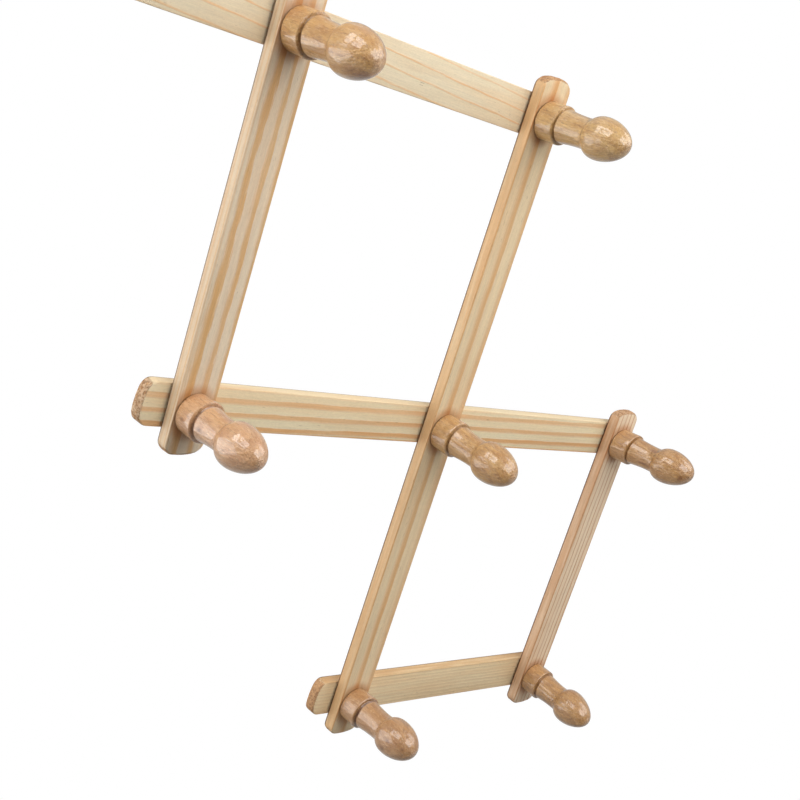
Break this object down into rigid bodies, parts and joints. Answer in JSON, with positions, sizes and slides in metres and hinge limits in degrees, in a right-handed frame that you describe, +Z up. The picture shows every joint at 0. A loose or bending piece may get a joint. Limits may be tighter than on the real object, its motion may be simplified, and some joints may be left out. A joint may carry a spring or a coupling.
{
  "type": "accordion wall peg rack",
  "caption": "Expanding wall rack: crossed flat wooden slats form a chain of diamonds, pinned at each crossing by a turned peg with a rounded head to hang things on.",
  "frame": {"origin": "on the wall plane behind the centre of the middle diamond", "axes": "+X along the chain of diamonds, from its first pivot to its last; +Y into the wall; +Z up. The pegs point to -Y."},
  "size_m": [0.7432, 0.0626, 0.258],
  "materials": {
    "front_pine": "bare sanded pine, brown lengthwise grain",
    "rear_pine": "bare sanded pine, pale, brown lengthwise grain",
    "turned_peg": "turned beech, glossy clear varnish",
    "washer_steel": "zinc plated",
    "screw_steel": "zinc plated"
  },
  "bodies": {
    "rear_link_1": {"rear_slat_1": "rear_pine", "peg_middle_1": "turned_peg", "washer_middle_1": "washer_steel", "screw_middle_1": "screw_steel", "peg_top_1": "turned_peg", "washer_top_1": "washer_steel", "screw_top_1": "screw_steel"},
    "rear_link_2": {"rear_slat_2": "rear_pine", "peg_bottom_1": "turned_peg", "washer_bottom_1": "washer_steel", "screw_bottom_1": "screw_steel", "peg_middle_2": "turned_peg", "washer_middle_2": "washer_steel", "screw_middle_2": "screw_steel", "peg_top_2": "turned_peg", "washer_top_2": "washer_steel", "screw_top_2": "screw_steel"},
    "rear_link_3": {"rear_slat_3": "rear_pine", "peg_bottom_2": "turned_peg", "washer_bottom_2": "washer_steel", "screw_bottom_2": "screw_steel", "peg_middle_3": "turned_peg", "washer_middle_3": "washer_steel", "screw_middle_3": "screw_steel", "peg_top_3": "turned_peg", "washer_top_3": "washer_steel", "screw_top_3": "screw_steel"},
    "rear_link_4": {"rear_slat_4": "rear_pine", "peg_bottom_3": "turned_peg", "washer_bottom_3": "washer_steel", "screw_bottom_3": "screw_steel", "peg_middle_4": "turned_peg", "washer_middle_4": "washer_steel", "screw_middle_4": "screw_steel"},
    "front_link_1": {"front_slat_1": "front_pine"},
    "front_link_2": {"front_slat_2": "front_pine"},
    "front_link_3": {"front_slat_3": "front_pine"},
    "front_link_4": {"front_slat_4": "front_pine"}
  },
  "joints": [
    {"name": "fold_middle_2", "type": "hinge", "parent": "rear_link_2", "child": "front_link_2", "pos_m": [-0.11702, 0, 0], "axis": [0, -1, 0], "range_deg": [-84, 76]},
    {"name": "fold_bottom_1", "type": "hinge", "parent": "rear_link_2", "child": "front_link_1", "pos_m": [-0.23403, 0, -0.10912], "axis": [0, -1, 0], "range_deg": [-84, 76]},
    {"name": "fold_top_2", "type": "hinge", "parent": "rear_link_2", "child": "front_link_3", "pos_m": [0, 0, 0.10912], "axis": [0, -1, 0], "range_deg": [-84, 76]},
    {"name": "fold_top_1", "type": "hinge", "parent": "front_link_2", "child": "rear_link_1", "pos_m": [-0.23403, 0, 0.10912], "axis": [0, -1, 0], "range_deg": [-76, 84]},
    {"name": "fold_middle_3", "type": "hinge", "parent": "front_link_3", "child": "rear_link_3", "pos_m": [0.11702, 0, 0], "axis": [0, -1, 0], "range_deg": [-76, 84]},
    {"name": "fold_bottom_3", "type": "hinge", "parent": "front_link_3", "child": "rear_link_4", "pos_m": [0.23403, 0, -0.10912], "axis": [0, -1, 0], "range_deg": [-76, 84]},
    {"name": "fold_top_3", "type": "hinge", "parent": "rear_link_3", "child": "front_link_4", "pos_m": [0.23403, 0, 0.10912], "axis": [0, -1, 0], "range_deg": [-84, 76]}
  ],
  "couplings": [
    {"joint": "fold_bottom_1", "follows": "fold_middle_2", "ratio": 1},
    {"joint": "fold_top_2", "follows": "fold_middle_2", "ratio": 1},
    {"joint": "fold_top_1", "follows": "fold_middle_2", "ratio": -1},
    {"joint": "fold_middle_3", "follows": "fold_middle_2", "ratio": -1},
    {"joint": "fold_bottom_3", "follows": "fold_middle_2", "ratio": -1},
    {"joint": "fold_top_3", "follows": "fold_middle_2", "ratio": 1}
  ]
}
